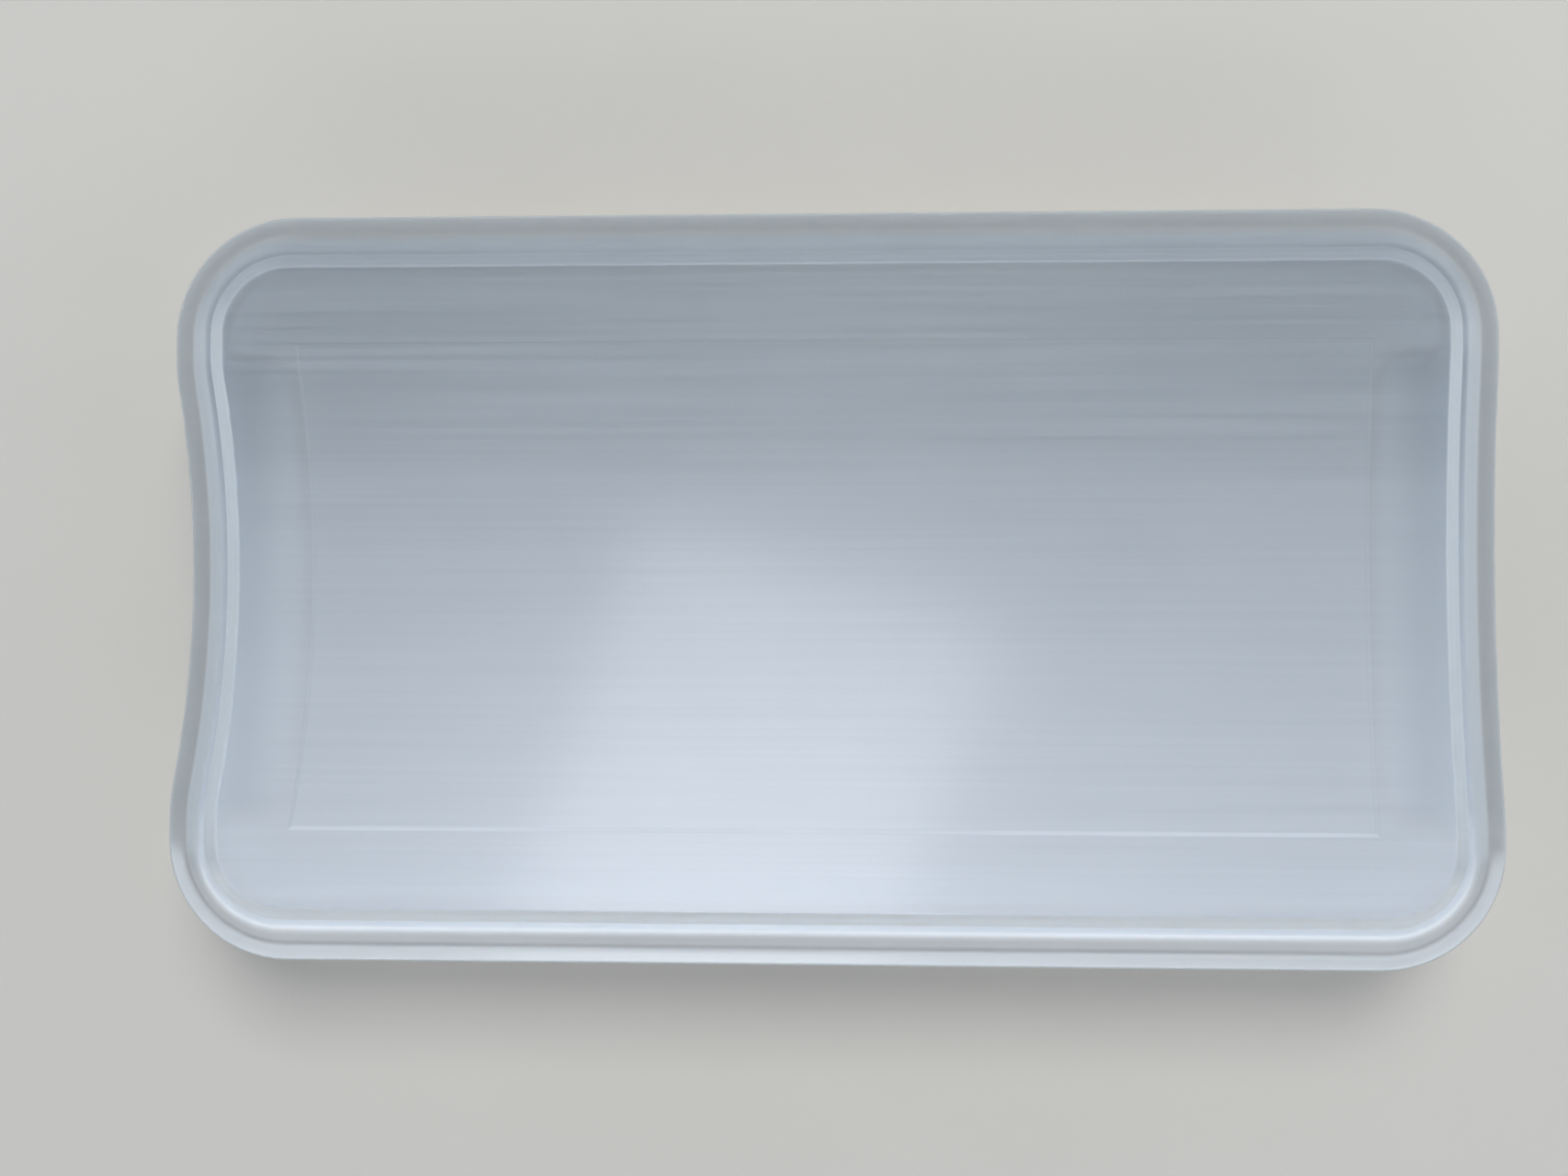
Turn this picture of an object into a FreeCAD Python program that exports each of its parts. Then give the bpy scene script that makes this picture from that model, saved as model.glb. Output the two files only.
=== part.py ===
import FreeCAD, Part
import math
import os

# Wet palette for miniature paints: a frosted tray with a lid, a sponge that holds the
# water and a sheet of palette paper on the sponge. Millimetres, +Z up, +X along the
# length, origin on the table under the middle of the tray.

# Lid outline, at the edge of its flange
lid_length = 240.0
lid_width = 136.0
corner_radius = 22.2
left_end_bow = 3.8
right_end_bow = 1.3
bow_land = 3.0
bow_blend_radius = 40.0

# Lid section
lid_wall = 1.6
lid_flange_width = 2.9
lid_flange_thickness = 1.6
flange_edge_round = 0.7
shoulder_run = 3.4
shoulder_rise = 2.4
shoulder_round = 4.0
shoulder_root_round = 2.5
bead_land = 0.3
bead_width = 2.2
bead_height = 0.22
bead_lean = 0.85
bead_top_round = 1.8
bead_root_round = 2.0
centre_panel_end_inset = 23.2
centre_panel_side_inset = 24.0
centre_panel_rise = 0.12
centre_panel_edge_width = 0.9

# Rib under the lid that plugs into the tray
plug_rib_thickness = 1.2
plug_rib_depth = 4.0
plug_rib_clearance = 0.3
plug_rib_round = 0.4

# Tray section
tray_wall = 1.6
tray_floor = 1.8
tray_rim_gap = 0.8
tray_rim_round = 0.5
tray_foot_round = 2.6
tray_inside_round = 1.2
tray_flange_height = 20.0
tray_flange_thickness = 1.6
foot_height = 1.0
foot_width = 3.0
foot_inset = 13.0
foot_corner_radius = 12.0

# Finger recess in each short end of the tray
recess_depth = 11.4
recess_inner_round = 4.0
ear_land = 2.3
ear_inside_round = 1.0

# Moulding nib left on the tray flange, beside the left recess
nib_reach = 0.5
nib_span = 4.2
nib_thickness = 0.8

# Sponge and palette sheet
sponge_thickness = 8.0
sponge_clearance = 0.4
sponge_edge_round = 0.8
sheet_end_margin = 1.9
sheet_side_margin = 3.4
sheet_thickness = 0.25
sheet_corner_radius = 4.0

# Gap left between pieces that rest on each other, overlap where forms of one piece merge,
# and the largest share of a wall that the round on each of its edges may take
seat_gap = 0.1
merge_overlap = 0.4
round_share = 0.45

# Heights that follow from the sizes above
floor_bottom = foot_height
floor_top = floor_bottom + tray_floor
tray_flange_bottom = floor_bottom + tray_flange_height
tray_flange_top = tray_flange_bottom + tray_flange_thickness
lid_flange_bottom = tray_flange_top + seat_gap
lid_flange_top = lid_flange_bottom + lid_flange_thickness
lid_top = lid_flange_top + shoulder_rise
lid_underside = lid_top - lid_wall
tray_rim_top = lid_underside - tray_rim_gap
sponge_bottom = floor_top + seat_gap
sponge_top = sponge_bottom + sponge_thickness
sheet_bottom = sponge_top + seat_gap

# Plan sizes that follow, with insets counted from the lid's outline
lid_end, lid_side = lid_length / 2.0, lid_width / 2.0
corner_x, corner_y = lid_end - corner_radius, lid_side - corner_radius
bow_half_span = corner_y - bow_land
shoulder_top = lid_flange_width + shoulder_run
shoulder_turn = math.pi / 2.0 - math.atan2(shoulder_run, shoulder_rise)
bead_start = shoulder_top + shoulder_round * math.tan(shoulder_turn / 2.0) + bead_land
bead_end = bead_start + bead_width
tray_wall_inset = (bead_start + bead_end - tray_wall) / 2.0
tray_end, tray_side = lid_end - tray_wall_inset, lid_side - tray_wall_inset

# Distances inward from the tray wall's outer face
plug_rib_near = tray_wall + plug_rib_clearance
plug_rib_far = plug_rib_near + plug_rib_thickness
sponge_inset = tray_wall + tray_inside_round + sponge_clearance
floor_join = max(sponge_inset, tray_foot_round + merge_overlap)
recess_outer_round = ear_inside_round + max(floor_join, plug_rib_far)
recess_half_span = corner_y - ear_land - recess_outer_round

UP = FreeCAD.Vector(0, 0, 1)


def polar(centre, radius, degrees):
    """Point at a distance and direction from a centre, in plan."""
    angle = math.radians(degrees)
    return (centre[0] + radius * math.cos(angle), centre[1] + radius * math.sin(angle))


def at(point, z):
    """Plan point raised to a height."""
    return FreeCAD.Vector(point[0], point[1], z)


class Straight:
    """Straight stretch of an outline, with the material on its left."""

    def __init__(self, start, end):
        self.start, self.end = start, end
        length = math.dist(start, end)
        self.heading = ((end[0] - start[0]) / length, (end[1] - start[1]) / length)
        self.inward = (-self.heading[1], self.heading[0])

    def inset(self, distance):
        shift = (self.inward[0] * distance, self.inward[1] * distance)
        return Straight(
            (self.start[0] + shift[0], self.start[1] + shift[1]),
            (self.end[0] + shift[0], self.end[1] + shift[1]),
        )

    def turned(self):
        return Straight((-self.start[0], -self.start[1]), (-self.end[0], -self.end[1]))

    def edge(self, z):
        return Part.LineSegment(at(self.start, z), at(self.end, z)).toShape()

    def drag(self, face):
        return face.extrude(at(self.end, 0) - at(self.start, 0))


class Bend:
    """Round stretch of an outline: a positive turn is a convex corner of the material."""

    def __init__(self, centre, radius, begin, turn):
        self.centre, self.radius, self.begin, self.turn = centre, radius, begin, turn
        self.start = polar(centre, radius, begin)
        side = -1.0 if turn > 0 else 1.0
        self.inward = polar((0.0, 0.0), side, begin)

    def inset(self, distance):
        radius = self.radius - math.copysign(distance, self.turn)
        return Bend(self.centre, radius, self.begin, self.turn)

    def turned(self):
        centre = (-self.centre[0], -self.centre[1])
        return Bend(centre, self.radius, self.begin + 180.0, self.turn)

    def edge(self, z):
        spots = [polar(self.centre, self.radius, self.begin + self.turn * s) for s in (0.0, 0.5, 1.0)]
        return Part.Arc(*[at(spot, z) for spot in spots]).toShape()

    def drag(self, face):
        return face.revolve(at(self.centre, 0), UP, self.turn)


def inset_path(path, distance):
    return [stretch.inset(distance) for stretch in path]


def prism(path, bottom, top):
    """Upright solid on a closed outline."""
    wire = Part.Wire([stretch.edge(bottom) for stretch in path])
    return Part.Face(wire).extrude(UP * (top - bottom))


def rounded_wire(corners):
    """Closed wire through 3-D corners, each (point, round), with tangent arcs at the rounds."""
    edges, stops = [], []
    for number, (corner, radius) in enumerate(corners):
        before = (corners[number - 1][0] - corner).normalize()
        after = (corners[(number + 1) % len(corners)][0] - corner).normalize()
        half = before.getAngle(after) / 2.0
        reach = radius / math.tan(half)
        middle = corner
        if radius:
            bisector = (before + after).normalize()
            middle = corner + bisector * (radius / math.sin(half) - radius)
        stops.append((corner + before * reach, middle, corner + after * reach))
    for number, (enter, middle, leave) in enumerate(stops):
        if corners[number][1]:
            edges.append(Part.Arc(enter, middle, leave).toShape())
        following = stops[(number + 1) % len(stops)][0]
        if leave.distanceToPoint(following) > 1e-6:
            edges.append(Part.LineSegment(leave, following).toShape())
    return Part.Wire(edges)


def sweep(section, path):
    """Solid with a constant section along an outline. The section's corners are
    (distance inward from the outline, height, round)."""
    stretches = []
    for stretch in path:
        corners = []
        for inward, z, radius in section:
            point = (
                stretch.start[0] + stretch.inward[0] * inward,
                stretch.start[1] + stretch.inward[1] * inward,
            )
            corners.append((at(point, z), radius))
        stretches.append(stretch.drag(Part.Face(rounded_wire(corners))))
    return stretches[0].multiFuse(stretches[1:]).removeSplitter()


def limited_round(radius, wall):
    """Edge round that leaves a flat on a wall with a round on both of its edges."""
    return min(radius, round_share * wall)


def rounded_rectangle(length, width, radius):
    """Closed outline of a plain rounded rectangle about the origin."""
    x, y = length / 2.0 - radius, width / 2.0 - radius
    half = [
        Bend((x, -y), radius, -90.0, 90.0),
        Straight((length / 2.0, -y), (length / 2.0, y)),
        Bend((x, y), radius, 0.0, 90.0),
        Straight((x, width / 2.0), (-x, width / 2.0)),
    ]
    return half + [stretch.turned() for stretch in half]


def bow_circle(bow):
    """Centre and radius of the circle that bows an end in, and its half angle."""
    reach = (bow**2 + bow_half_span**2) / (2.0 * bow)
    radius = reach - bow_blend_radius
    angle = math.degrees(math.asin(bow_half_span / reach))
    return (lid_end - bow + radius, 0.0), radius, angle


def lid_half(bow):
    """One end and one long side of the lid's outline, for an end at +X."""
    blend_x = lid_end - bow_blend_radius
    centre, radius, angle = bow_circle(bow)
    return [
        Bend((corner_x, -corner_y), corner_radius, -90.0, 90.0),
        Straight((lid_end, -corner_y), (lid_end, -bow_half_span)),
        Bend((blend_x, -bow_half_span), bow_blend_radius, 0.0, angle),
        Bend(centre, radius, 180.0 + angle, -2.0 * angle),
        Bend((blend_x, bow_half_span), bow_blend_radius, -angle, angle),
        Straight((lid_end, bow_half_span), (lid_end, corner_y)),
        Bend((corner_x, corner_y), corner_radius, 0.0, 90.0),
        Straight((corner_x, lid_side), (-corner_x, lid_side)),
    ]


def tray_half(bow):
    """One end and one long side of the tray wall's outer face, for an end at +X. Two ears
    flank the finger recess, whose back wall bows in with the lid's end."""
    corner = corner_radius - tray_wall_inset
    ear_x, ear_y = tray_end - recess_outer_round, recess_half_span + recess_outer_round
    centre, bow_radius, _ = bow_circle(bow)
    back_radius = bow_radius + tray_wall_inset + recess_depth
    inner_y = recess_half_span - recess_inner_round
    inner_reach = back_radius - recess_inner_round
    angle = math.degrees(math.asin(inner_y / inner_reach))
    inner_x = centre[0] - math.sqrt(inner_reach**2 - inner_y**2)
    return [
        Bend((corner_x, -corner_y), corner, -90.0, 90.0),
        Straight((tray_end, -corner_y), (tray_end, -ear_y)),
        Bend((ear_x, -ear_y), recess_outer_round, 0.0, 90.0),
        Straight((ear_x, -recess_half_span), (inner_x, -recess_half_span)),
        Bend((inner_x, -inner_y), recess_inner_round, 270.0, angle - 90.0),
        Bend(centre, back_radius, 180.0 + angle, -2.0 * angle),
        Bend((inner_x, inner_y), recess_inner_round, 180.0 - angle, angle - 90.0),
        Straight((inner_x, recess_half_span), (ear_x, recess_half_span)),
        Bend((ear_x, ear_y), recess_outer_round, -90.0, 90.0),
        Straight((tray_end, ear_y), (tray_end, corner_y)),
        Bend((corner_x, corner_y), corner, 0.0, 90.0),
        Straight((corner_x, tray_side), (-corner_x, tray_side)),
    ]


def both_ends(half):
    """Closed outline from the half at +X and the turned half at -X."""
    return half(right_end_bow) + [stretch.turned() for stretch in half(left_end_bow)]


def flange_path():
    """Open outline of the tray flange round one long side, from recess to recess."""
    return [
        Straight((lid_end, bow_half_span), (lid_end, corner_y)),
        Bend((corner_x, corner_y), corner_radius, 0.0, 90.0),
        Straight((corner_x, lid_side), (-corner_x, lid_side)),
        Bend((-corner_x, corner_y), corner_radius, 90.0, 90.0),
        Straight((-lid_end, corner_y), (-lid_end, bow_half_span)),
    ]


def lid_rim():
    """Flange, shoulder and top bead of the lid, swept round its outline."""
    wall_across = lid_wall * math.hypot(shoulder_run, shoulder_rise) / shoulder_rise
    lean = shoulder_run / shoulder_rise
    inner_root = lid_flange_width + wall_across - lean * lid_flange_thickness
    inner_top = shoulder_top + wall_across - lean * lid_wall
    edge_round = limited_round(flange_edge_round, lid_flange_thickness)
    bead_top = lid_top + bead_height
    plate_join = bead_end + merge_overlap
    section = [
        (0.0, lid_flange_bottom, edge_round),
        (0.0, lid_flange_top, edge_round),
        (lid_flange_width, lid_flange_top, shoulder_root_round),
        (shoulder_top, lid_top, shoulder_round),
        (bead_start, lid_top, bead_root_round),
        (bead_start + bead_lean, bead_top, bead_top_round),
        (bead_end - bead_lean, bead_top, bead_top_round),
        (bead_end, lid_top, bead_root_round),
        (plate_join, lid_top, 0.0),
        (plate_join, lid_underside, 0.0),
        (inner_top, lid_underside, shoulder_root_round),
        (inner_root, lid_flange_bottom, 0.0),
    ]
    return sweep(section, both_ends(lid_half))


def panel_outline(inset, z):
    """Rectangle with bowed ends, inset from the foot of the centre panel's edge."""
    x = lid_end - centre_panel_end_inset - inset
    y = lid_side - centre_panel_side_inset - inset
    corners = [at(corner, z) for corner in ((x, -y), (x, y), (-x, y), (-x, -y))]
    right_middle = at((x - right_end_bow, 0.0), z)
    left_middle = at((left_end_bow - x, 0.0), z)
    edges = [
        Part.Arc(corners[0], right_middle, corners[1]).toShape(),
        Part.LineSegment(corners[1], corners[2]).toShape(),
        Part.Arc(corners[2], left_middle, corners[3]).toShape(),
        Part.LineSegment(corners[3], corners[0]).toShape(),
    ]
    return Part.Wire(edges)


def centre_panel():
    """Slightly raised panel in the middle of the lid's top, with a shallow sloped edge."""
    sunk = centre_panel_edge_width * merge_overlap / centre_panel_rise
    foot = panel_outline(-sunk, lid_top - merge_overlap)
    top = panel_outline(centre_panel_edge_width, lid_top + centre_panel_rise)
    return Part.makeLoft([foot, top], True, True)


def plug_rib():
    """Rib under the lid that plugs into the tray just inside its wall."""
    bottom, top = lid_underside - plug_rib_depth, lid_underside + merge_overlap
    lead_in = limited_round(plug_rib_round, plug_rib_thickness)
    section = [
        (plug_rib_near, bottom, lead_in),
        (plug_rib_far, bottom, lead_in),
        (plug_rib_far, top, 0.0),
        (plug_rib_near, top, 0.0),
    ]
    return sweep(section, both_ends(tray_half))


def lid():
    plate = prism(inset_path(both_ends(lid_half), bead_end), lid_underside, lid_top)
    return lid_rim().multiFuse([plate, centre_panel(), plug_rib()]).removeSplitter()


def tray_walls():
    """Wall of the tray with its rim, and the rounds where it meets the floor."""
    rim_round = limited_round(tray_rim_round, tray_wall)
    section = [
        (0.0, floor_bottom, tray_foot_round),
        (floor_join, floor_bottom, 0.0),
        (floor_join, floor_top, 0.0),
        (tray_wall, floor_top, tray_inside_round),
        (tray_wall, tray_rim_top, rim_round),
        (0.0, tray_rim_top, rim_round),
    ]
    return sweep(section, both_ends(tray_half))


def tray_flanges():
    """Two flanges, each along a long side and round its corners to the recesses."""
    edge_round = limited_round(flange_edge_round, tray_flange_thickness)
    root = tray_wall_inset + merge_overlap
    section = [
        (0.0, tray_flange_bottom, edge_round),
        (root, tray_flange_bottom, 0.0),
        (root, tray_flange_top, 0.0),
        (0.0, tray_flange_top, edge_round),
    ]
    far_side = sweep(section, flange_path())
    near_side = sweep(section, [stretch.turned() for stretch in flange_path()])
    return [far_side, near_side]


def foot_ring():
    """Raised ring under the floor that the palette stands on."""
    length = 2.0 * (tray_end - recess_depth - foot_inset)
    path = rounded_rectangle(length, 2.0 * (tray_side - foot_inset), foot_corner_radius)
    top = floor_bottom + merge_overlap
    return prism(path, 0.0, top).cut(prism(inset_path(path, foot_width), 0.0, top))


def moulding_nib():
    """Thin flash on the end of the tray flange, in the near corner of the left recess."""
    x, y = -lid_end, -bow_half_span
    outline = [
        (x + nib_span, y - merge_overlap),
        (x + nib_reach, y - merge_overlap),
        (x - nib_reach, y + nib_span / 3.0),
        (x + nib_reach, y + nib_span),
        (x + nib_span, y),
    ]
    points = [at(point, tray_flange_top - nib_thickness) for point in outline]
    return Part.Face(Part.makePolygon(points + points[:1])).extrude(UP * nib_thickness)


def tray():
    floor_path = inset_path(both_ends(tray_half), tray_wall + tray_inside_round)
    floor_plate = prism(floor_path, floor_bottom, floor_top)
    forms = [floor_plate, *tray_flanges(), foot_ring(), moulding_nib()]
    return tray_walls().multiFuse(forms).removeSplitter()


def sponge():
    """Flat die-cut sponge that fills the tray from wall to wall, ears included."""
    body = prism(inset_path(both_ends(tray_half), sponge_inset), sponge_bottom, sponge_top)
    rims = [edge for edge in body.Edges if edge.BoundBox.ZLength < sponge_thickness / 2.0]
    return body.makeFillet(limited_round(sponge_edge_round, ear_inside_round), rims)


def palette_sheet():
    """Sheet of palette paper, cut to lie between the back walls of the two recesses."""
    back_wall = recess_depth + tray_wall + max(left_end_bow, right_end_bow)
    length = 2.0 * (tray_end - back_wall - sheet_end_margin)
    width = 2.0 * (tray_side - tray_wall - sheet_side_margin)
    path = rounded_rectangle(length, width, sheet_corner_radius)
    return prism(path, sheet_bottom, sheet_bottom + sheet_thickness)


def main():
    os.makedirs("parts", exist_ok=True)
    made = {"tray": tray(), "lid": lid(), "sponge": sponge(), "palette_sheet": palette_sheet()}
    for name, shape in made.items():
        shape.exportStep(f"parts/{name}.step")
        print(f"{name}: {len(shape.Solids)} solid, valid {shape.isValid()}, {shape.Volume:.0f} mm3")


main()
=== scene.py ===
import math

import bpy
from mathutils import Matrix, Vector, noise


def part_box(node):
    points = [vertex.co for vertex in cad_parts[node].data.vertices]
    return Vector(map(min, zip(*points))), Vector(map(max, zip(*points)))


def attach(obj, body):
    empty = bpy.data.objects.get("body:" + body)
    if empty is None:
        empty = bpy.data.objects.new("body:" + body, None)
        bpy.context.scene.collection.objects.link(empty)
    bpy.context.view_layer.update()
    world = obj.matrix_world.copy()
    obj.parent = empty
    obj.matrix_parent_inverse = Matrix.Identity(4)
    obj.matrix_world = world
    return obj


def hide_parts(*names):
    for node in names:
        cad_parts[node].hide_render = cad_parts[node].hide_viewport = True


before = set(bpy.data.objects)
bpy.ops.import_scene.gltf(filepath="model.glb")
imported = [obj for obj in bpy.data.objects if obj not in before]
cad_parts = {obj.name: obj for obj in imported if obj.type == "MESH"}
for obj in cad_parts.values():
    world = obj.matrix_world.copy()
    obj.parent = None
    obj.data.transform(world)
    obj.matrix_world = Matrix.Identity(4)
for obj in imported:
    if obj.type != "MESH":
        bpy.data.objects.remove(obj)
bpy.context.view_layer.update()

MM = 0.001

# Camera of the photograph: almost straight above the lid, with a phone's wide lens
PHOTO_WIDTH = 1706
FOCAL_PIXELS = 1280
SENSOR_WIDTH = 36.0
CAMERA_PLACE = Vector((-1.1, -5.9, 236.4)) * MM
CAMERA_TURN = (0.0263, 0.0307, 0.0018)
CAMERA_CLIP = 5.0 * MM

# Lid: heights on its shoulder, in the groove above that, on its bead, and on the slope round
# the centre rectangle
SHOULDER_FOOT, SHOULDER_MIDDLE, SHOULDER_TOP = 24.6 * MM, 25.1 * MM, 26.5 * MM
GROOVE_FLOOR, GROOVE_EDGE = 26.6 * MM, 26.695 * MM
BEAD_FOOT, BEAD_CROWN = 26.702 * MM, 26.75 * MM
LINE_MIDDLE, LINE_HALF = 26.76 * MM, 0.04 * MM

# Lid: distances from its middle at which the bead and the finger recesses begin
BEAD_END, BEAD_SIDE, BEAD_BLEND = 98.0 * MM, 46.0 * MM, 8.0 * MM
RECESS_END, RECESS_SIDE = 96.0 * MM, 45.0 * MM
END_BLEND, SIDE_BLEND = 10.0 * MM, 7.0 * MM

# Lid: how far painted light turns each place to the pale colour, how much more it does so on the
# near side, how much less in the corners, and the share of the painted light from the tray's
# flange in the edge
BEAD_HIGHLIGHT, SHOULDER_LIGHT, LINE_HIGHLIGHT = 0.7, 0.55, 0.1
NEAR_SIDE_LIGHT = 1.8
CORNER_FADE = 0.75
RIM_LIGHT_SHARE = 0.6

# Polypropylene: sizes of the patterns in it, and its gloss
HAIRLINE_LENGTH, HAIRLINE_WIDTH, HAIRLINE_DEPTH = 70.0 * MM, 0.9 * MM, 6.0 * MM
HAIRLINE_TONE, HAIRLINE_RELIEF = 0.2, 0.8
FLOW_MARK = 40.0 * MM
SPECK_CELL, SPECK_CORE, SPECK_EDGE = 30.0 * MM, 0.25 * MM, 0.45 * MM
SPECK_THRESHOLD = 0.86
BLAST_GRAIN = 0.4 * MM
POLYPROPYLENE_IOR = 1.49
SATIN_LOW, SATIN_HIGH, DULLING = 0.36, 0.46, 0.45
COAT = 0.35
LIGHT_DEPTH = 4.0 * MM

# Range that most of a noise pattern's values lie in
NOISE_LOW, NOISE_HIGH = 0.3, 0.7

# Sponge, paper and floor card: sizes of the patterns in them
FOAM_CELL, DAMP_PATCH = 1.1 * MM, 28.0 * MM
PULP_CLOUD, SOAKED_PATCH, PAPER_FIBRE = 5.0 * MM, 46.0 * MM, 1.2 * MM
CARD_CLOUD = 60.0 * MM

# Sponge: spacing of its mesh, then the pores cut into it and the swell of its faces
FOAM_MESH = 0.9 * MM
LARGE_PORE_SPACING, LARGE_PORE_RADIUS = 5.2 * MM, 1.7 * MM
SMALL_PORE_SPACING, SMALL_PORE_RADIUS = 2.6 * MM, 0.9 * MM
PORE_DEPTH = 0.9
PORE_SIZE_STEP = 7.3
FOAM_SWELL, SWELL_WAVE = 0.25 * MM, 22.0 * MM

# Palette sheet: cut size, thickness, mesh, and how the damp paper lifts off the sponge
SHEET_LENGTH, SHEET_WIDTH = 186.2 * MM, 109.6 * MM
SHEET_CORNER = 4.0 * MM
SHEET_THICKNESS = 0.14 * MM
SHEET_COLUMNS, SHEET_ROWS = 120, 70
COCKLE_WAVE, COCKLE_RISE = 34.0 * MM, 0.75 * MM
COCKLE_NARROWING, COCKLE_STEEPNESS = 1.3, 1.5
COCKLE_SLICE = 3.0 * MM

# Light tent: its levels, the lamps in watts, and for each step of the ceiling its far edge in
# metres and its watts per square metre
WALLS, CEILING, CEILING_FROM = 1.3, 0.15, 0.75
KEY, FILL, NEAR_CARD, FAR_CARD, PANE = 5.8, 1.8, 1.0, 2.0, 4.0
CEILING_STEPS = ((0.14, 10.0), (-0.04, 14.6), (-0.2, 24.4))
CEILING_NEAR, CEILING_HEIGHT = -1.4, 0.95
TENT_WIDTH = 3.6
PALETTE_MIDDLE = (0.0, 0.0, 0.02)
FLOOR_HALF = 1.5


def linear(code):
    """Linear RGBA of an sRGB hex colour."""
    channels = [int(code[i : i + 2], 16) / 255.0 for i in (1, 3, 5)]
    return [c / 12.92 if c <= 0.04045 else ((c + 0.055) / 1.055) ** 2.4 for c in channels] + [1.0]


def add(tree, kind, inputs=None, **settings):
    """One shader node with its settings, its set values and its links."""
    made = tree.nodes.new(kind)
    for name, value in settings.items():
        setattr(made, name, value)
    for socket, value in (inputs or {}).items():
        if isinstance(value, bpy.types.NodeSocket):
            tree.links.new(value, made.inputs[socket])
        else:
            made.inputs[socket].default_value = value
    return made


def new_material(name):
    """Material with an empty node tree, and that tree."""
    material = bpy.data.materials.new(name)
    material.use_nodes = True
    material.node_tree.nodes.clear()
    return material, material.node_tree


def moulded_polypropylene(name, milky, pale, recess_shade, rim, clear):
    """Natural polypropylene moulded against a lightly blasted tool."""
    # The eye gets a milky, translucent body under a satin skin: soft wide highlights, cloudy
    # flow marks, hairline scuffs along the length and a few specks caught in the moulding.
    material, tree = new_material(name)
    place = add(tree, "ShaderNodeTexCoord").outputs["Object"]

    # Hairlines along X, 0.1 mm wide on the real lid, are drawn 0.9 mm wide so that they show
    along = add(
        tree, "ShaderNodeVectorMath",
        {0: place, 1: (1.0 / HAIRLINE_LENGTH, 1.0 / HAIRLINE_WIDTH, 1.0 / HAIRLINE_DEPTH)},
        operation="MULTIPLY",
    ).outputs["Vector"]
    hairline = add(
        tree, "ShaderNodeTexNoise", {"Vector": along, "Scale": 1.0, "Detail": 2.0}
    ).outputs["Fac"]

    # Flow marks make the body paler in places, and so do the hairlines
    flow = add(
        tree, "ShaderNodeTexNoise", {"Vector": place, "Scale": 1.0 / FLOW_MARK, "Detail": 3.0}
    ).outputs["Fac"]
    streaked = add(
        tree, "ShaderNodeMapRange",
        {
            "Value": hairline, "From Min": NOISE_LOW, "From Max": NOISE_HIGH,
            "To Min": -HAIRLINE_TONE, "To Max": HAIRLINE_TONE,
        },
    ).outputs["Result"]
    cloud = add(
        tree, "ShaderNodeMath", {0: flow, 1: streaked}, operation="ADD", use_clamp=True
    ).outputs["Value"]
    body = add(
        tree, "ShaderNodeMix", {"Factor": cloud, "A": linear(milky), "B": linear(pale)},
        data_type="RGBA",
    ).outputs[2]

    # Over the finger recesses, where nothing backs the lid, it is painted a shade darker: painted
    # shade
    spot = add(tree, "ShaderNodeSeparateXYZ", {"Vector": place}).outputs
    away = add(tree, "ShaderNodeVectorMath", {0: place}, operation="ABSOLUTE").outputs["Vector"]
    reach = add(tree, "ShaderNodeSeparateXYZ", {"Vector": away}).outputs
    past_wall = add(
        tree, "ShaderNodeMapRange",
        {"Value": reach["X"], "From Min": RECESS_END, "From Max": RECESS_END + END_BLEND},
        interpolation_type="SMOOTHSTEP",
    ).outputs["Result"]
    between = add(
        tree, "ShaderNodeMapRange",
        {"Value": reach["Y"], "From Min": RECESS_SIDE, "From Max": RECESS_SIDE - SIDE_BLEND},
        interpolation_type="SMOOTHSTEP",
    ).outputs["Result"]
    recess_shade_mask = add(
        tree, "ShaderNodeMath", {0: past_wall, 1: between}, operation="MULTIPLY"
    ).outputs["Value"]
    with_recess_shade = add(
        tree, "ShaderNodeMix", {"Factor": recess_shade_mask, "A": body, "B": linear(recess_shade)},
        data_type="RGBA",
    ).outputs[2]

    # The lid's edge lies over the tray's flange; the light that comes through from it is painted
    # on as a paler, warmer tone
    rim_light_mask = add(
        tree, "ShaderNodeMapRange",
        {
            "Value": spot["Z"], "From Min": SHOULDER_FOOT, "From Max": SHOULDER_TOP,
            "To Min": RIM_LIGHT_SHARE, "To Max": 0.0,
        },
    ).outputs["Result"]
    with_rim_light = add(
        tree, "ShaderNodeMix", {"Factor": rim_light_mask, "A": with_recess_shade, "B": linear(rim)},
        data_type="RGBA",
    ).outputs[2]

    # Where on the lid a point lies: towards its ends and long sides, and at which height
    end = add(
        tree, "ShaderNodeMapRange",
        {"Value": reach["X"], "From Min": BEAD_END, "From Max": BEAD_END + BEAD_BLEND},
    ).outputs["Result"]
    side = add(
        tree, "ShaderNodeMapRange",
        {"Value": reach["Y"], "From Min": BEAD_SIDE, "From Max": BEAD_SIDE + BEAD_BLEND},
    ).outputs["Result"]
    near_side = add(
        tree, "ShaderNodeMapRange",
        {
            "Value": spot["Y"], "From Min": -BEAD_SIDE, "From Max": -BEAD_SIDE - BEAD_BLEND,
            "To Max": NEAR_SIDE_LIGHT,
        },
    ).outputs["Result"]
    raised = add(
        tree, "ShaderNodeMapRange",
        {"Value": spot["Z"], "From Min": BEAD_FOOT, "From Max": BEAD_CROWN},
        interpolation_type="SMOOTHSTEP",
    ).outputs["Result"]
    lowered = add(
        tree, "ShaderNodeMapRange",
        {"Value": spot["Z"], "From Min": GROOVE_EDGE, "From Max": GROOVE_FLOOR},
    ).outputs["Result"]
    edge = add(tree, "ShaderNodeMath", {0: end, 1: side}, operation="MAXIMUM").outputs["Value"]

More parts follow.
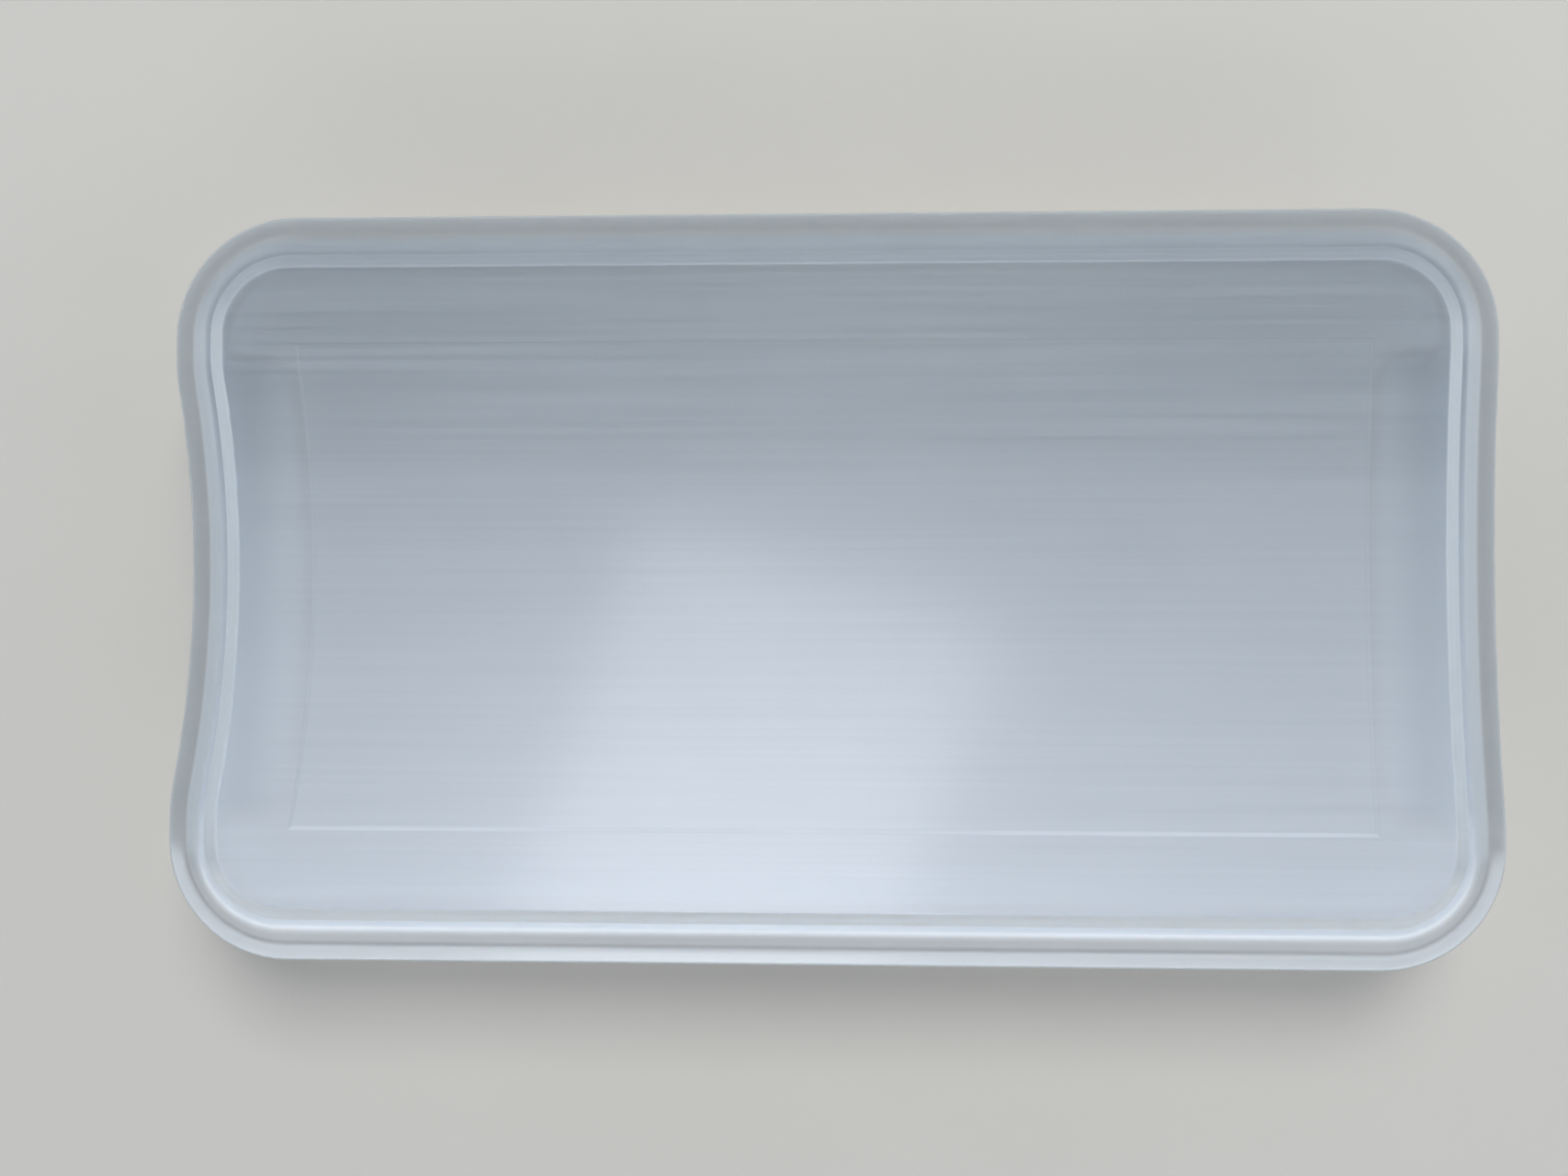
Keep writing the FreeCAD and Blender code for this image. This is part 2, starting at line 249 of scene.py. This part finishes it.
    # The bead is dulled all round, and the edge outside it too, save on the near side
    far = add(
        tree, "ShaderNodeMath", {0: lowered, 1: near_side}, operation="SUBTRACT"
    ).outputs["Value"]
    uneven = add(tree, "ShaderNodeMath", {0: raised, 1: far}, operation="MAXIMUM").outputs["Value"]
    dull = add(tree, "ShaderNodeMath", {0: edge, 1: uneven}, operation="MULTIPLY").outputs["Value"]

    # At the ends and the near side, bead and shoulder are painted paler: a painted highlight on
    # the bead and painted light on the shoulder. The slope round the centre rectangle gets a faint
    # painted highlight too
    slope = add(
        tree, "ShaderNodeMapRange",
        {
            "Value": spot["Z"], "From Min": SHOULDER_FOOT, "From Max": SHOULDER_MIDDLE,
            "To Max": SHOULDER_LIGHT,
        },
    ).outputs["Result"]
    sloped = add(
        tree, "ShaderNodeMath", {0: slope, 1: lowered}, operation="MULTIPLY"
    ).outputs["Value"]
    straight = add(
        tree, "ShaderNodeMath", {0: side, 1: -CORNER_FADE, 2: 1.0}, operation="MULTIPLY_ADD"
    ).outputs["Value"]
    lit_ends = add(
        tree, "ShaderNodeMath", {0: end, 1: straight}, operation="MULTIPLY"
    ).outputs["Value"]
    lit_ends_and_near_side = add(
        tree, "ShaderNodeMath", {0: lit_ends, 1: near_side}, operation="MAXIMUM"
    ).outputs["Value"]
    bead = add(tree, "ShaderNodeMath", {0: edge, 1: raised}, operation="MULTIPLY").outputs["Value"]
    bead_and_slope_light = add(
        tree, "ShaderNodeMath", {0: bead, 1: BEAD_HIGHLIGHT, 2: sloped}, operation="MULTIPLY_ADD"
    ).outputs["Value"]
    painted_light_mask = add(
        tree, "ShaderNodeMath", {0: bead_and_slope_light, 1: lit_ends_and_near_side}, operation="MULTIPLY"
    ).outputs["Value"]
    line = add(
        tree, "ShaderNodeMath", {0: spot["Z"], 1: LINE_MIDDLE, 2: LINE_HALF}, operation="COMPARE"
    ).outputs["Value"]
    painted_highlight_mask = add(
        tree, "ShaderNodeMath", {0: line, 1: LINE_HIGHLIGHT, 2: painted_light_mask},
        operation="MULTIPLY_ADD", use_clamp=True,
    ).outputs["Value"]
    # E6EEF6 is the colour of the painted highlight and painted light
    with_painted_highlight = add(
        tree, "ShaderNodeMix", {"Factor": painted_highlight_mask, "A": with_rim_light, "B": linear("#E6EEF6")},
        data_type="RGBA",
    ).outputs[2]

    # Specks: one in about seven of the 30 mm cells holds a dot of 0.35 mm radius
    speck = add(
        tree, "ShaderNodeTexVoronoi", {"Vector": place, "Scale": 1.0 / SPECK_CELL}
    ).outputs
    near = add(
        tree, "ShaderNodeMapRange",
        {
            "Value": speck["Distance"],
            "From Min": SPECK_CORE / SPECK_CELL, "From Max": SPECK_EDGE / SPECK_CELL,
            "To Min": 1.0, "To Max": 0.0,
        },
    ).outputs["Result"]
    chance = add(tree, "ShaderNodeSeparateColor", {"Color": speck["Color"]}).outputs["Red"]
    chosen = add(
        tree, "ShaderNodeMath", {0: chance, 1: SPECK_THRESHOLD}, operation="GREATER_THAN"
    ).outputs["Value"]
    shown = add(
        tree, "ShaderNodeMath", {0: near, 1: chosen}, operation="MULTIPLY"
    ).outputs["Value"]
    specked = add(
        tree, "ShaderNodeMix", {"Factor": shown, "A": with_painted_highlight, "B": linear("#8C9298")},
        data_type="RGBA",
    ).outputs[2]

    # Hairlines vary the gloss, and dulled places are rougher and lose the coat
    satin = add(
        tree, "ShaderNodeMapRange",
        {
            "Value": hairline, "From Min": NOISE_LOW, "From Max": NOISE_HIGH,
            "To Min": SATIN_LOW, "To Max": SATIN_HIGH,
        },
    ).outputs["Result"]
    rough = add(
        tree, "ShaderNodeMath", {0: dull, 1: DULLING, 2: satin}, operation="MULTIPLY_ADD"
    ).outputs["Value"]
    coat = add(
        tree, "ShaderNodeMath", {0: dull, 1: -COAT, 2: COAT}, operation="MULTIPLY_ADD"
    ).outputs["Value"]

    # Blast texture of 0.4 mm over the hairlines
    blast = add(
        tree, "ShaderNodeTexNoise", {"Vector": place, "Scale": 1.0 / BLAST_GRAIN, "Detail": 2.0}
    ).outputs["Fac"]
    relief = add(
        tree, "ShaderNodeMath", {0: hairline, 1: HAIRLINE_RELIEF, 2: blast},
        operation="MULTIPLY_ADD",
    ).outputs["Value"]
    bump = add(
        tree, "ShaderNodeBump", {"Height": relief, "Strength": 0.12, "Distance": 0.04 * MM}
    ).outputs["Normal"]
    shader = add(
        tree, "ShaderNodeBsdfPrincipled",
        {
            "Base Color": specked,
            "Roughness": rough,
            "Normal": bump,
            "IOR": POLYPROPYLENE_IOR,
            "Transmission Weight": clear,
            "Subsurface Weight": 1.0,
            "Subsurface Radius": (0.9, 1.0, 1.1),
            "Subsurface Scale": LIGHT_DEPTH,
            "Coat Weight": coat,
            "Coat Roughness": 0.14,
            "Coat IOR": POLYPROPYLENE_IOR,
        },
    ).outputs["BSDF"]
    add(tree, "ShaderNodeOutputMaterial", {"Surface": shader})
    return material


def open_cell_foam():
    """Die-cut polyurethane sponge with open cells, damp."""
    # The eye gets a pale cream body full of little pores, with painted shade darkening them, matt
    # with a faint wet gleam.
    material, tree = new_material("die_cut_open_cell_foam")
    place = add(tree, "ShaderNodeTexCoord").outputs["Object"]

    # Cells of 0.4 mm are drawn 1.1 mm wide so that they show
    cell = add(
        tree, "ShaderNodeTexVoronoi",
        {"Vector": place, "Scale": 1.0 / FOAM_CELL, "Randomness": 1.0},
    ).outputs["Distance"]
    wall = add(
        tree, "ShaderNodeMapRange", {"Value": cell, "From Min": 0.12, "From Max": 0.5}
    ).outputs["Result"]
    damp = add(
        tree, "ShaderNodeTexNoise", {"Vector": place, "Scale": 1.0 / DAMP_PATCH, "Detail": 4.0}
    ).outputs["Fac"]
    cream = add(
        tree, "ShaderNodeMix",
        {"Factor": damp, "A": linear("#E3DDC8"), "B": linear("#EFEBDD")},
        data_type="RGBA",
    ).outputs[2]
    # The pores are painted darker as painted shade inside the open cells
    with_pore_shade = add(
        tree, "ShaderNodeMix", {"Factor": wall, "A": linear("#B9AF94"), "B": cream},
        data_type="RGBA",
    ).outputs[2]
    gleam = add(
        tree, "ShaderNodeMapRange",
        {"Value": damp, "From Min": 0.35, "From Max": 0.65, "To Min": 0.6, "To Max": 0.85},
    ).outputs["Result"]
    bump = add(
        tree, "ShaderNodeBump", {"Height": wall, "Strength": 0.7, "Distance": 0.5 * MM}
    ).outputs["Normal"]
    shader = add(
        tree, "ShaderNodeBsdfPrincipled",
        {
            "Base Color": with_pore_shade,
            "Roughness": gleam,
            "Normal": bump,
            "IOR": 1.5,
            "Sheen Weight": 0.15,
        },
    ).outputs["BSDF"]
    add(tree, "ShaderNodeOutputMaterial", {"Surface": shader})
    return material


def parchment_paper():
    """Calendered parchment paper, damp from the sponge under it."""
    # The eye gets a thin cloudy off-white sheet, a little translucent, with a soft sheen.
    material, tree = new_material("calendered_parchment_paper")
    place = add(tree, "ShaderNodeTexCoord").outputs["Object"]

    # Paper pulp shows as clouds of 5 mm, with fibres of about 1.2 mm in them
    pulp = add(
        tree, "ShaderNodeTexNoise", {"Vector": place, "Scale": 1.0 / PULP_CLOUD, "Detail": 5.0}
    ).outputs["Fac"]
    soak = add(
        tree, "ShaderNodeTexNoise", {"Vector": place, "Scale": 1.0 / SOAKED_PATCH, "Detail": 3.0}
    ).outputs["Fac"]
    clouded = add(
        tree, "ShaderNodeMix",
        {"Factor": pulp, "A": linear("#DEDACB"), "B": linear("#F1EFE6")},
        data_type="RGBA",
    ).outputs[2]
    wetness = add(
        tree, "ShaderNodeMapRange",
        {"Value": soak, "From Min": 0.4, "From Max": 0.62, "To Min": 0.32, "To Max": 0.55},
    ).outputs["Result"]
    fibre = add(
        tree, "ShaderNodeTexNoise", {"Vector": place, "Scale": 1.0 / PAPER_FIBRE, "Detail": 3.0}
    ).outputs["Fac"]
    bump = add(
        tree, "ShaderNodeBump", {"Height": fibre, "Strength": 0.15, "Distance": 0.05 * MM}
    ).outputs["Normal"]
    shader = add(
        tree, "ShaderNodeBsdfPrincipled",
        {
            "Base Color": clouded,
            "Roughness": wetness,
            "Normal": bump,
            "IOR": 1.47,
            "Transmission Weight": 0.12,
        },
    ).outputs["BSDF"]
    add(tree, "ShaderNodeOutputMaterial", {"Surface": shader})
    return material


def matt_card():
    """Pale matt card that the palette stands on."""
    # The eye gets an even, dry off-white with hardly any gloss.
    material, tree = new_material("pale_matt_card")
    place = add(tree, "ShaderNodeTexCoord").outputs["Object"]
    pulp = add(
        tree, "ShaderNodeTexNoise", {"Vector": place, "Scale": 1.0 / CARD_CLOUD, "Detail": 4.0}
    ).outputs["Fac"]
    tone = add(
        tree, "ShaderNodeMix",
        {"Factor": pulp, "A": linear("#ECEAE6"), "B": linear("#F2F0EC")},
        data_type="RGBA",
    ).outputs[2]
    shader = add(
        tree, "ShaderNodeBsdfPrincipled",
        {"Base Color": tone, "Roughness": 0.9, "Specular IOR Level": 0.1},
    ).outputs["BSDF"]
    add(tree, "ShaderNodeOutputMaterial", {"Surface": shader})
    return material


def dress(node, material):
    """Give a moulded piece its material."""
    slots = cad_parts[node].data.materials
    slots.clear()
    slots.append(material)


def mesh_piece(name, mesh, material):
    """New smooth-shaded piece from a mesh."""
    piece = bpy.data.objects.new(name, mesh)
    bpy.context.scene.collection.objects.link(piece)
    mesh.materials.clear()
    mesh.materials.append(material)
    mesh.shade_smooth()
    return piece


def pore_depth(point, spacing, radius):
    """Depth at a point of the round pores that are scattered at a spacing, with random sizes."""
    distances, centres = noise.voronoi(point / spacing)
    size = radius * max(0.0, 0.5 + 0.5 * noise.cell(centres[0] * PORE_SIZE_STEP))
    away = distances[0] * spacing
    return math.sqrt(size * size - away * away) if away < size else 0.0


def sponge_pad():
    """The sponge: its solid in a fine even mesh, a little uneven and pitted with pores."""
    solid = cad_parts["sponge"]
    rough_cut = bpy.data.objects.new("sponge_blank", solid.data.copy())
    bpy.context.scene.collection.objects.link(rough_cut)
    even = rough_cut.modifiers.new("even_mesh", "REMESH")
    even.mode = "VOXEL"
    even.voxel_size = FOAM_MESH
    shaped = rough_cut.evaluated_get(bpy.context.evaluated_depsgraph_get())
    mesh = bpy.data.meshes.new_from_object(shaped)
    bpy.data.objects.remove(rough_cut)
    normals = [vertex.normal.copy() for vertex in mesh.vertices]
    for vertex, normal in zip(mesh.vertices, normals):
        large = pore_depth(vertex.co, LARGE_PORE_SPACING, LARGE_PORE_RADIUS)
        small = pore_depth(vertex.co, SMALL_PORE_SPACING, SMALL_PORE_RADIUS)
        uneven = FOAM_SWELL * (0.5 + 0.5 * noise.noise(vertex.co / SWELL_WAVE))
        vertex.co -= normal * (uneven + PORE_DEPTH * max(large, small))
    mesh.name = "sponge_pad"
    pad = mesh_piece("sponge_pad", mesh, open_cell_foam())
    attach(pad, "sponge")
    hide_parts("sponge")
    return pad


def half_length(across):
    """Half length of the sheet at a distance from its middle line, with its round corners."""
    into_corner = max(0.0, abs(across) - (SHEET_WIDTH / 2.0 - SHEET_CORNER))
    round_off = math.sqrt(max(0.0, SHEET_CORNER**2 - into_corner**2))
    return SHEET_LENGTH / 2.0 - SHEET_CORNER + round_off


def paper_sheet(pad):
    """The palette sheet: damp paper that lies on the sponge and cockles a little."""
    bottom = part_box("palette_sheet")[0][2]
    points = []
    for row in range(SHEET_ROWS + 1):
        # Rows crowd together towards the long edges, where the corners are round
        across = math.sin(math.pi * (row / SHEET_ROWS - 0.5)) * SHEET_WIDTH / 2.0
        reach = half_length(across)
        for column in range(SHEET_COLUMNS + 1):
            along = reach * (2.0 * column / SHEET_COLUMNS - 1.0)
            spot = Vector((along, across * COCKLE_NARROWING, COCKLE_SLICE))
            wave = max(0.0, noise.noise(spot / COCKLE_WAVE)) ** COCKLE_STEEPNESS
            points.append(Vector((along, across, bottom + COCKLE_RISE * wave)))

    # Faces of the underside, the same on the upper side, and the cut edge between them
    count = len(points)
    width = SHEET_COLUMNS + 1
    faces = []
    for row in range(SHEET_ROWS):
        for column in range(SHEET_COLUMNS):
            first = row * width + column
            under = (first, first + width, first + width + 1, first + 1)
            faces.append(under)
            faces.append(tuple(count + i for i in reversed(under)))
    rim = list(range(width))
    rim += [row * width + SHEET_COLUMNS for row in range(1, SHEET_ROWS + 1)]
    rim += [SHEET_ROWS * width + column for column in range(SHEET_COLUMNS - 1, -1, -1)]
    rim += [row * width for row in range(SHEET_ROWS - 1, 0, -1)]
    for here, after in zip(rim, rim[1:] + rim[:1]):
        faces.append((here, after, count + after, count + here))

    lift = Vector((0.0, 0.0, SHEET_THICKNESS))
    mesh = bpy.data.meshes.new("paper_sheet")
    mesh.from_pydata(points + [point + lift for point in points], [], faces)
    sheet = mesh_piece("paper_sheet", mesh, parchment_paper())
    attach(sheet, "sheet")
    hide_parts("palette_sheet")


def softbox(name, place, target, size, watts, colour, turn=0.0, gloss=False):
    """Rectangular lamp that either lights surfaces or only shows in their gloss."""
    data = bpy.data.lights.new(name, "AREA")
    data.shape = "RECTANGLE"
    data.size, data.size_y = size
    data.energy = watts
    data.color = linear(colour)[:3]
    lamp = bpy.data.objects.new(name, data)
    lamp.location = place
    aim = (Vector(target) - Vector(place)).to_track_quat("-Z", "Y")
    lamp.rotation_euler = aim.to_euler()
    lamp.rotation_euler.rotate_axis("Z", turn)
    lamp.visible_glossy = gloss
    lamp.visible_diffuse = not gloss
    lamp.visible_transmission = not gloss
    bpy.context.scene.collection.objects.link(lamp)


def light_tent():
    """Soft light from the walls and from the lamps, which stand at places in metres."""
    world = bpy.data.worlds.new("pale_room")
    bpy.context.scene.world = world
    world.use_nodes = True
    tree = world.node_tree
    tree.nodes.clear()

    # Bright walls and a dim ceiling, as in a light tent that is open above
    direction = add(tree, "ShaderNodeTexCoord").outputs["Generated"]
    upward = add(tree, "ShaderNodeSeparateXYZ", {"Vector": direction}).outputs["Z"]
    level = add(
        tree, "ShaderNodeMapRange",
        {
            "Value": upward, "From Min": 0.0, "From Max": CEILING_FROM,
            "To Min": WALLS, "To Max": CEILING,
        },
        interpolation_type="SMOOTHSTEP",
    ).outputs["Result"]
    background = add(
        tree, "ShaderNodeBackground", {"Color": linear("#E2E9F1"), "Strength": level}
    ).outputs["Background"]
    add(tree, "ShaderNodeOutputWorld", {"Surface": background})

    # Key light from the far long side, so that the shadow falls on the near side, and a weak
    # fill from that side
    softbox("key_softbox", (0.12, 0.62, 0.95), PALETTE_MIDDLE, (0.6, 0.6), KEY, "#FFFDF8")
    softbox("fill_softbox", (0.0, -0.9, 0.35), PALETTE_MIDDLE, (1.2, 0.5), FILL, "#FFFDF8")

    # What the lid's gloss shows: a ceiling that brightens in three steps towards the near
    # side, dim walls on that side and opposite, and one window pane across the middle
    for far_edge, strength in CEILING_STEPS:
        depth = far_edge - CEILING_NEAR
        middle = far_edge - depth / 2.0
        softbox(
            "ceiling_card", (0.0, middle, CEILING_HEIGHT), (0.0, middle, 0.0),
            (TENT_WIDTH, depth), strength * depth * TENT_WIDTH, "#EAF2FF", gloss=True,
        )
    softbox(
        "near_card", (0.0, -0.95, 0.25), PALETTE_MIDDLE, (TENT_WIDTH, 0.45),
        NEAR_CARD, "#F0F5FC", gloss=True,
    )
    softbox(
        "far_card", (0.0, 0.66, 0.85), PALETTE_MIDDLE, (1.2, 0.3),
        FAR_CARD, "#F0F5FC", gloss=True,
    )
    softbox(
        "window_pane", (-0.08, -0.2, 0.94), (-0.08, -0.2, 0.0), (0.36, 0.5),
        PANE, "#F4F8FF", turn=-0.32, gloss=True,
    )


def card_floor():
    """Pale floor, which is part of the stage."""
    signs = ((-1, -1), (1, -1), (1, 1), (-1, 1))
    mesh = bpy.data.meshes.new("floor")
    mesh.from_pydata([(x * FLOOR_HALF, y * FLOOR_HALF, 0) for x, y in signs], [], [(0, 1, 2, 3)])
    mesh.materials.append(matt_card())
    floor = bpy.data.objects.new("floor", mesh)
    bpy.context.scene.collection.objects.link(floor)


def photo_camera():
    """Camera at the photograph's viewing angle."""
    scene = bpy.context.scene
    scene.view_settings.view_transform = "Standard"
    data = bpy.data.cameras.new("camera")
    data.sensor_fit = "HORIZONTAL"
    data.sensor_width = SENSOR_WIDTH
    data.lens = SENSOR_WIDTH * FOCAL_PIXELS / PHOTO_WIDTH
    data.clip_start = CAMERA_CLIP
    camera = bpy.data.objects.new("camera", data)
    camera.location = CAMERA_PLACE
    camera.rotation_euler = CAMERA_TURN
    scene.collection.objects.link(camera)
    scene.camera = camera


# The third colour of each plastic is painted shade over the finger recesses
lid_plastic = moulded_polypropylene(
    "moulded_polypropylene_lid",
    # The fourth colour, rim, is painted light from the tray's flange under the lid's edge
    milky="#AEB9C3", pale="#B9C3CD", recess_shade="#9FAAB4", rim="#BBBBB6", clear=0.3,
)
tray_plastic = moulded_polypropylene(
    "moulded_polypropylene_tray",
    milky="#E6E4DC", pale="#EFEDE6", recess_shade="#E6E4DC", rim="#EAE8E1", clear=0.2,
)
dress("lid", lid_plastic)
dress("tray", tray_plastic)
paper_sheet(sponge_pad())
light_tent()
card_floor()
photo_camera()
